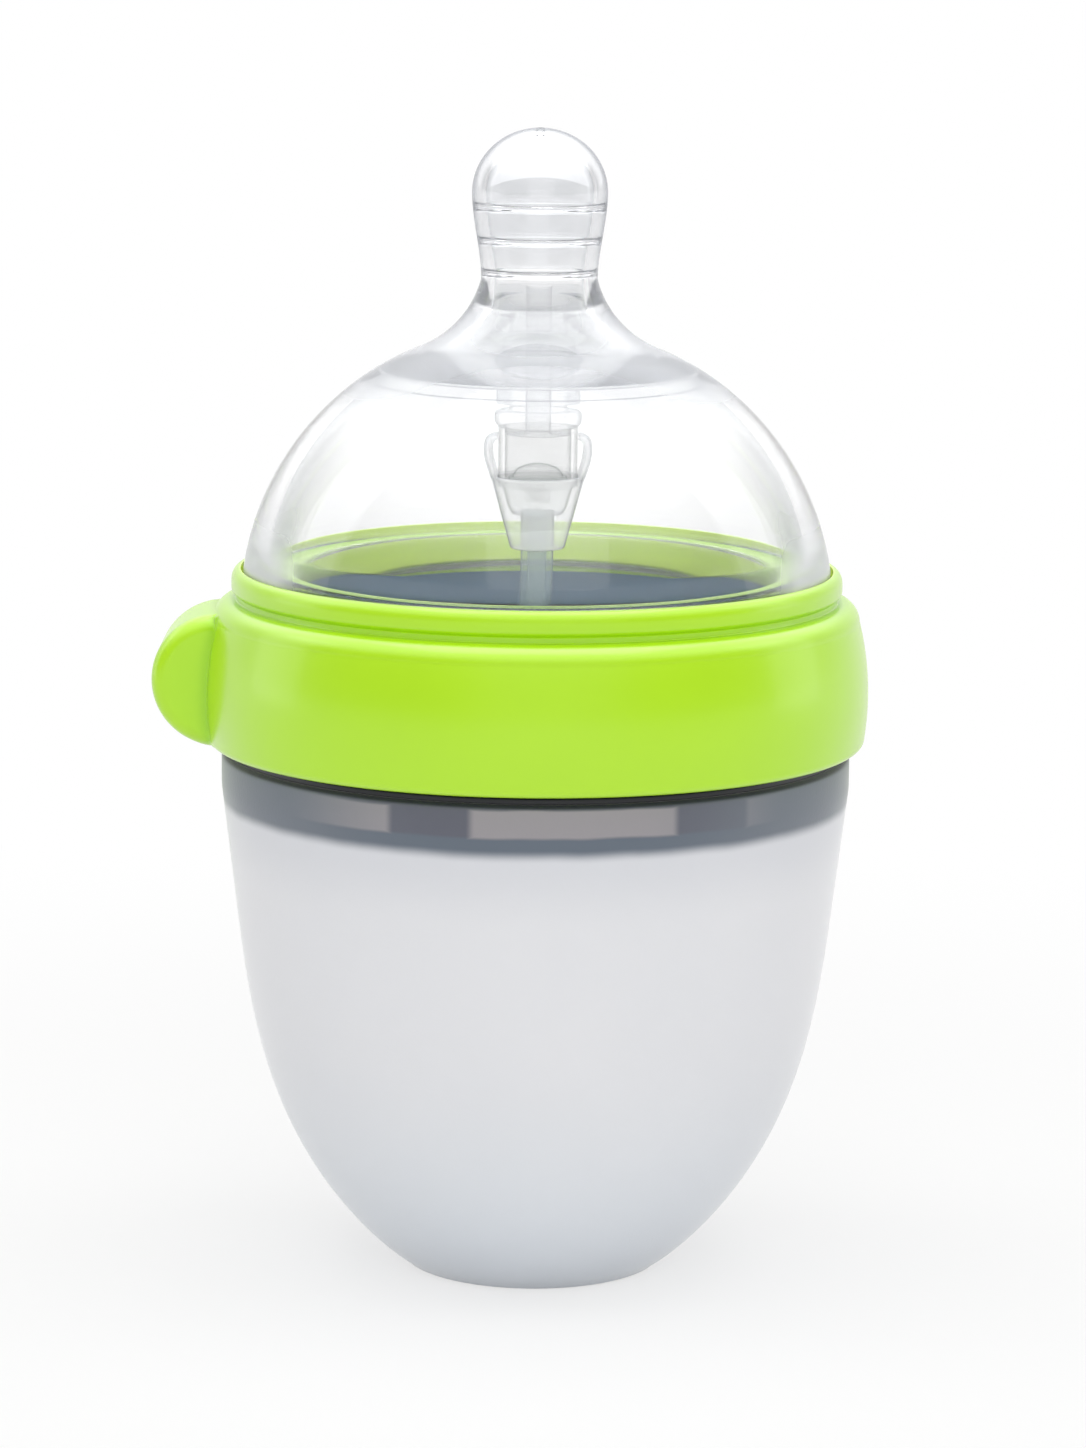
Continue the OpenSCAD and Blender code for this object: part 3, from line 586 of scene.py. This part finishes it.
# ---------------------------------------------------------------------------------------
# Nipple. One thick-walled piece of clear silicone: flange, dome, thin areola, and a teat
# with three rings inside and a drinking hole in its tip.
flange_radius, flange_top = 35.1, 78.55
dome_centre, dome_arc = (1.7, 77.6), 32.7
dome_low, dome_radius = 82.5, 34.031
flare_centre, flare_arc = (18.2, 119.035), 11.9
teat_low, teat_height, teat_base, teat_radius = 115.935, 9.9, 6.711, 7.8
bulb, tip_height, teat_wall, tip_hole = 125.835, 7.385, 1.6, 0.4
inner_centre, inner_arc = (1.7, 78.9), 30.017
ledge, ledge_radius, base_inner = 81.8, 31.331, 28.4
step_corner, step_radius = (17.9, 104.6), 18.9
under_arc, bore_radius = 13.7, 5.5
ring_centres = teat_low + np.array([0.8, 4.6, 8.4])
ring_depth, ring_width = 0.35, 0.28
vent_start, vent_end = (33.55, 77.6), (30.0, ledge - 0.35)


def teat_side(t):
    """Radius of the teat from its base, t = 0, to its bulb, t = 1: a smooth rise."""
    return teat_base + (teat_radius - teat_base) * t * t * (3 - 2 * t)


def ring_relief(z):
    """Three soft rings that stand in from the teat's wall: a bell curve at each centre."""
    return ring_depth * np.exp(-((z[:, None] - ring_centres) / ring_width) ** 2).sum(axis=1)


dome_start = math.degrees(math.asin((dome_low - dome_centre[1]) / dome_arc))
dome_end = math.degrees(math.atan2(flare_centre[1] - dome_centre[1],
                                   flare_centre[0] - dome_centre[0]))
flare_end = 180 + math.degrees(math.asin((flare_centre[1] - teat_low) / flare_arc))
teat_t = np.linspace(0, 1, 40)
tip_turn = np.radians(np.linspace(0, 90, 40))
tip_outside = np.stack([teat_radius * np.cos(tip_turn), bulb + tip_height * np.sin(tip_turn)], 1)
tip_inside = np.stack([(teat_radius - teat_wall) * np.cos(tip_turn),
                       bulb + (tip_height - teat_wall) * np.sin(tip_turn)], 1)
teat_inside_z = np.linspace(teat_low + 0.01, bulb, 120)
teat_inside = np.stack([teat_side((teat_inside_z - teat_low) / teat_height) - teat_wall
                        - ring_relief(teat_inside_z), teat_inside_z], 1)
inner_start = math.degrees(math.atan2(ledge - inner_centre[1], ledge_radius - inner_centre[0]))
inner_end = math.degrees(math.acos((step_radius - inner_centre[0]) / inner_arc))
inner_dome = arc(inner_centre, inner_arc, inner_start, inner_end, 70)[8:]
# The areola's inner wall runs round the flare's centre and widens a little on its way up.
under = arc(flare_centre, 1.0, 248, 200, 30) - flare_centre
under = under * np.linspace(under_arc, under_arc + 0.8, 31)[:, None] + flare_centre
under = under[under[:, 0] > bore_radius + 0.05]
areola = np.concatenate([
    rounded([tuple(inner_dome[-1]), (*step_corner, 0.4), tuple(under[0])])[1:-1],
    under,
    rounded([tuple(under[-1]), (bore_radius, under[-1, 1] + 0.3, 0.3),
             tuple(teat_inside[0])])[1:]])
tip_rim, tip_bore = (line[1:-1][line[1:-1, 0] > tip_hole] for line in (tip_outside, tip_inside))
nipple_section = np.concatenate([
    rounded([(base_inner, neck_top), (flange_radius, neck_top, 0.2),
             (flange_radius, flange_top, 0.3), (dome_radius, flange_top, 0.2),
             (dome_radius, dome_low)])[:-1],
    arc(dome_centre, dome_arc, dome_start, dome_end, 80),
    arc(flare_centre, flare_arc, dome_end + 180, flare_end, 40)[1:],
    np.stack([teat_side(teat_t), teat_low + teat_height * teat_t], 1)[1:],
    tip_rim,
    [(tip_hole, bulb + tip_height - 0.01), (tip_hole, bulb + tip_height - teat_wall)],
    tip_bore[::-1],
    teat_inside[::-1][:-1],
    areola[::-1],
    inner_dome[1:-2][::-1],
    rounded([tuple(inner_dome[0]), (ledge_radius, ledge, 1.5), (base_inner, ledge, 1.4),
             (base_inner, neck_top)], steps=8)])


def clear_silicone():
    """Water-clear silicone: refracting, tinted by the thickness that light goes through. The
    inner wall, matt at its foot, greys where it is seen along its length and along the step
    round the areola, and so does the outside of the teat. A milky veil thickens the base,
    the areola and the teat's outline. Lamp light passes to what stands inside."""
    finish = Finish("clear silicone")
    place = finish.place()
    z = finish.split(place)[2]
    slant = finish.slant()
    patches = finish.noise(place, 60.0)
    inner = finish.node("Attribute", {"attribute_name": "inner_wall"}, {}, "Fac")
    outer = 1 - inner

    def above(low, high):
        """From 0 below one height to 1 above another, both in mm."""
        return finish.step(z, low * MM, high * MM)

    def line_at(level, half_width=0.14):
        """A fine line round the piece at a height in mm."""
        return above(level - half_width, level) * (1 - above(level, level + half_width))

    teat = above(112, 121)
    areola = above(99.5, 104.5) * (1 - above(112, 114))
    body = finish.mix(teat, (1.0, 1.0, 1.0), (0.90, 0.905, 0.915))
    greyed = inner * above(83, 90) * (1 - 0.8 * areola) * finish.step(slant, 0.52, 0.96)
    inside = finish.mix(greyed, body, (0.50, 0.53, 0.57))
    inside = finish.mix(inner * (line_at(103.35) + line_at(104.5)), inside,
                        (0.14, 0.15, 0.18))
    outside = outer * (0.05 + 0.95 * teat) * finish.step(slant, 0.58, 0.92)
    glassy = finish.node("BsdfPrincipled", {}, {
        "Base Color": finish.mix(outside, inside, (0.60, 0.62, 0.66)),
        "Roughness": 0.015 + 0.02 * patches + 0.08 * (inner * (1 - above(84, 86))),
        "IOR": 1.41,
        "Transmission Weight": 0.965,
        "Normal": finish.relief(finish.noise(place, 70.0, 1.0), 0.000004),
    })
    pale = finish.mix(areola, (0.68, 0.70, 0.72), (0.52, 0.54, 0.58))
    # The veil on the inner foot is painted green, light of the screw band that shows through the
    # base.
    pale = finish.mix(inner * (1 - above(82, 85)), pale, (0.50, 0.78, 0.16))
    veil = finish.node("BsdfPrincipled", {}, {
        "Base Color": finish.mix(teat, pale, (0.25, 0.27, 0.31)), "Roughness": 0.4})
    at_base = finish.step(slant - 0.15 * inner, 0.36, 0.56) * (1 - above(82, 92))
    at_areola = areola * (0.15 + 0.28 * finish.step(slant, 0.2, 0.7))
    at_teat = teat * outer * (0.06 + 0.5 * finish.step(slant, 0.5, 0.9))
    silicone = finish.node("MixShader", {}, {
        0: 0.85 * at_base + at_areola + at_teat, 1: glassy, 2: veil})
    lamp_light = finish.node("LightPath", output="Is Shadow Ray")
    through = finish.node("BsdfTransparent", {}, {"Color": (0.99, 0.99, 0.99)})
    return finish.done(
        finish.node("MixShader", {}, {0: lamp_light, 1: silicone, 2: through}),
        finish.node("VolumeAbsorption", {}, {"Color": (0.93, 0.935, 0.945), "Density": 100.0}))


nipple_silicone = clear_silicone()


def slit(side):
    """An air vent on one side: a thin flat pocket inside the wall, from over the neck's rim up
    to the ledge. It is a closed box turned inside out, drawn to a line at both ends."""
    path = np.array([vent_start, vent_start, vent_end, vent_end])
    half_width = np.array([0, 0.22, 0.22, 0])[:, None] * [-1, 1, 1, -1]
    half_length = np.array([0, 1.2, 1.2, 0])[:, None] * [-1, -1, 1, 1]
    along = side * (path[:, :1] + 0.85 * half_width)
    pocket = np.stack([along, side * half_length, path[:, 1:] + 0.53 * half_width], -1) * MM
    return skin(pocket[:, ::-1], looped=False)


def points_of(mesh):
    """The mesh's points in mm: a row each for x, y and z."""
    at = np.zeros(3 * len(mesh.vertices))
    mesh.vertices.foreach_get("co", at)
    return at.reshape(-1, 3).T / MM


def mark(mesh, name, values):
    """Keeps a number for each of the mesh's points, which its finish reads by that name."""
    marks = mesh.attributes.new(name, "FLOAT", "POINT")
    marks.data.foreach_set("value", values.astype(np.float32))


nipple_mesh = mesh_of("silicone_nipple", lathe(nipple_section, looped=True), slit(1), slit(-1))
x, y, z = points_of(nipple_mesh)
# The inner wall is whatever lies more than 0.4 mm inside the outline.
widest = nipple_section[:, 0].argmax()
top = np.nonzero(nipple_section[:, 0] == tip_hole)[0][0]
outline = nipple_section[widest:top]
mark(nipple_mesh, "inner_wall",
     np.hypot(x, y) < np.interp(z, outline[:, 1], outline[:, 0]) - 0.4)
piece("silicone_nipple", nipple_mesh, nipple_silicone, "feeding_set", "nipple")


# ---------------------------------------------------------------------------------------
# Screw band. Glossy green plastic with a barrel-shaped side, a grooved lip that a cap snaps
# over, a thread inside, and a rounded thumb tab.
band_low, band_top, band_belly, band_radius, band_arc = 62.2, 78.9, 68.0, 38.644, 34.0
band_bore, low_round, top_round = 35.4, 1.0, 2.2
groove_radius, groove_top, bead_radius, bead_low, bead_high = 34.85, 79.6, 35.431, 80.0, 81.15
lip_top, lip_lean, opening_radius, seat_top = 82.5, 1.0, 34.331, 78.7
band_thread_low, band_thread_turns = 64.2, 1.1
tab_radius, tab_reach, tab_half, tab_round = 7.7, 44.39, 7.5, 1.8
tab_x, tab_z = tab_reach - tab_radius, band_low + tab_radius
tab_turn, tab_edge_turn, tab_fillet, painted_shade_reach = 18, 11, 2.2, 1.8


def band_side(z):
    """Radius of the barrel-shaped side."""
    return band_radius - band_arc + np.sqrt(band_arc ** 2 - (z - band_belly) ** 2)


def tab_surface(turn, z):
    """Distance from the axis at which the ray at an angle and a height leaves the tab: a thick
    disc on edge whose rim is rounded. It is found by halving the range that holds it."""
    near, far = np.full(np.broadcast(turn, z).shape, 30.0), np.full_like(turn + z, 46.0)
    for _ in range(40):
        middle = (near + far) / 2
        across = np.abs(middle * np.sin(turn))
        edge = np.clip((across - (tab_half - tab_round)) / tab_round, 0, 1)
        rim = tab_radius - tab_round * (1 - np.sqrt(1 - edge ** 2))
        inside = (middle * np.cos(turn) - tab_x) ** 2 + (z - tab_z) ** 2 < rim ** 2
        inside &= across < tab_half
        inside |= (middle < tab_x) & (np.abs(z - tab_z) < tab_radius) & (across < tab_half)
        near, far = np.where(inside, middle, near), np.where(inside, far, middle)
    return near


def melted(a, b, width):
    """The larger of a and b, with the corner where they meet filled over the width."""
    overlap = np.maximum(width - np.abs(a - b), 0) / width
    return np.maximum(a, b) + overlap ** 2 * width / 4


side_low, side_high = band_low + low_round, band_top - top_round
low_radius, top_radius = band_side(side_low), band_side(side_high)
# The side's rows follow the tab's round outline, and a few more reach the top rounding.
side_z = tab_z + tab_radius * np.sin(np.radians(np.linspace(-90, 90, 150)))
side_z = side_z[side_z > side_low + 0.05]
side_z = np.concatenate([side_z, np.linspace(tab_z + tab_radius + 0.04, side_high, 5)])
side_z = side_z[side_z <= side_high + 1e-6]
lip_turn = np.radians(np.arange(15, 91, 7.5))
band_section = np.concatenate([
    [(band_bore, band_low), (low_radius - low_round, band_low)],
    arc((low_radius - low_round, side_low), low_round, -90, 0, 24)[1:],
    np.stack([band_side(side_z), side_z], 1)[:-1],
    arc((top_radius - top_round, side_high), top_round, 0, 90, 18),
    rounded([(top_radius - top_round, band_top), (groove_radius, band_top, 0.2),
             (groove_radius, groove_top, 0.15), (bead_radius, bead_low, 0.3),
             (bead_radius, bead_high)])[1:],
    np.stack([bead_radius - lip_lean * (1 - np.cos(lip_turn)),
              bead_high + (lip_top - bead_high) * np.sin(lip_turn)], 1),
    rounded([(bead_radius - lip_lean, lip_top), (opening_radius, lip_top - 0.05, 0.04),
             (opening_radius, seat_top, 0.1), (band_bore, seat_top, 0.1),
             (band_bore, band_low + 0.3, 0.2), (band_bore, band_low)])[1:-1]])
# The columns stand close together round the tab, and closest at its two edges.
far_side = np.arange(tab_turn, 360 - tab_turn, 1.5)
near_side = np.arange(-tab_turn, tab_turn, 0.2)
at_edges = near_side[abs(abs(near_side) - tab_edge_turn) < 1.5] + 0.1
band_turn = np.radians(np.concatenate([np.sort(np.append(near_side, at_edges)), far_side]))
section_radius, section_z = band_section[:, :1], band_section[:, 1:]
# The tab stands only on the outer side, so the bore behind it stays round.
tab = tab_surface(band_turn[None], section_z)
tab = np.where((np.abs(band_turn) < 0.4)[None] & (section_radius > 36), tab, 0)
whole = melted(section_radius, tab, tab_fillet)[:, ::-1]
heading = math.pi - band_turn[::-1]
band_grid = np.stack([whole * np.cos(heading), whole * np.sin(heading),
                      section_z + 0 * whole], -1) * MM
green_plastic = moulded("green plastic", (0.43, 0.76, 0.003), 0.35, 0.000004, 700.0,
                        **{"Coat Weight": 0.6, "Coat Roughness": 0.18})
band_mesh = mesh_of("screw_band", skin(band_grid),
                    thread(band_bore, band_bore - thread_depth,
                           band_thread_low, band_thread_turns))
x, y, z = points_of(band_mesh)
# Painted shade deepens the colour in the corners where the tab meets the side, and painted
# light pales the wall of the opening, which is seen only through the nipple.
from_side = np.hypot(x, y) - band_side(np.clip(z, band_low, band_top))
from_corner = np.hypot(abs(y) - tab_half, from_side)
crease_painted_shade = np.clip(1 - from_corner / painted_shade_reach, 0, 1) ** 2
crease_painted_shade = crease_painted_shade * (x < 0) * (abs(z - tab_z) < tab_radius)
opening_painted_light = (np.hypot(x, y) < bead_radius - 0.95) * (z > seat_top - 0.3)
mark(band_mesh, "painted_shade_and_light", crease_painted_shade - opening_painted_light)
piece("screw_band", band_mesh, green_plastic, "screw_collar", "collar")


# ---------------------------------------------------------------------------------------
# Studio. A pale table that fades into a white surround, with soft boxes above, in front and at
# both sides and an even fill.
table_half, table_level = 8, -0.0001


def light_path(finish):
    """What kind of ray light is, and 1 until a matt surface has scattered it, 0 after."""
    ray = finish.node("LightPath")
    return ray, 1 - finish.maths("MINIMUM", ray.also("Diffuse Depth"), 1.0)


table = Finish("table")
ray, unscattered = light_path(table)
x, y = table.split(table.place())[:2]
flat = table.node("CombineXYZ", {}, {"X": x, "Y": y})
away = table.node("VectorMath", {"operation": "LENGTH"}, {0: flat}, "Value")
looked_at = unscattered * (ray + ray.also("Is Glossy Ray") + ray.also("Is Transmission Ray"))
glow = looked_at * (0.65 + 0.35 * table.step(away, 0.08, 0.26))
paper = table.node("BsdfDiffuse", {}, {"Color": (0.88, 0.88, 0.88)})
white = table.node("Emission", {}, {"Color": (1.0, 1.0, 1.0), "Strength": 1.0})
table_top = table.done(table.node("MixShader", {}, {0: glow, 1: paper, 2: white}))
table_mesh = bpy.data.meshes.new("table")
table_mesh.from_pydata([(table_half * i, table_half * k, table_level)
                        for i, k in ((-1, -1), (1, -1), (1, 1), (-1, 1))], [], [(0, 1, 2, 3)])
table_mesh.materials.append(table_top)
table_object = bpy.data.objects.new("table", table_mesh)
scene.collection.objects.link(table_object)

# The surround is white behind the bottle and overhead, greyer at the sides and in front, which
# draws the outlines of the clear pieces. Mirrored, it is dim with a bright ceiling.
surround = Finish("surround", bpy.data.worlds)
ray, unscattered = light_path(surround)
x, y, z = surround.split(surround.node("TexCoord", output="Generated"))
aside = surround.maths("ABSOLUTE", x)
behind = surround.step(y, -0.6, 0.3)
overhead = surround.step(z, 0.25, 0.75)
far_aside = surround.step(aside, 0.38, 0.66)
through = (1 - 0.3 * aside - 0.4 * far_aside) * (0.6 + 0.4 * behind)
through = 0.97 * (through + (1 - through) * overhead)
mirrored = 0.15 + 0.8 * surround.step(y, 0.0, 0.8) + 2.1 * overhead
level = 0.5 + unscattered * (0.5 * ray + (mirrored - 0.5) * ray.also("Is Glossy Ray")
                             + (through - 0.5) * ray.also("Is Transmission Ray"))
scene.world = surround.done(
    surround.node("Background", {}, {"Color": (1.0, 1.0, 1.0), "Strength": level}),
    output="OutputWorld")


def soft_box(name, place, size, power, mirrored=True):
    """A large rectangular lamp aimed at the bottle's middle. Where it is not mirrored, gloss
    shows the surround in its place."""
    lamp = bpy.data.lights.new(name, "AREA")
    lamp.shape = "RECTANGLE"
    lamp.size, lamp.size_y = size
    lamp.energy = power
    box = bpy.data.objects.new(name, lamp)
    turned = (Vector((0, 0, 0.07)) - Vector(place)).to_track_quat("-Z", "Y")
    box.matrix_world = Matrix.Translation(place) @ turned.to_matrix().to_4x4()
    box.visible_glossy = mirrored
    scene.collection.objects.link(box)


soft_box("box_above", (0.0, -0.05, 0.95), (0.9, 0.7), 4.3)
soft_box("box_front", (0.1, -1.25, 0.45), (1.2, 0.9), 6.3, mirrored=False)
soft_box("box_left", (-0.85, 0.15, 0.35), (0.4, 0.8), 1.2)
soft_box("box_right", (0.85, 0.15, 0.35), (0.4, 0.8), 1.2)
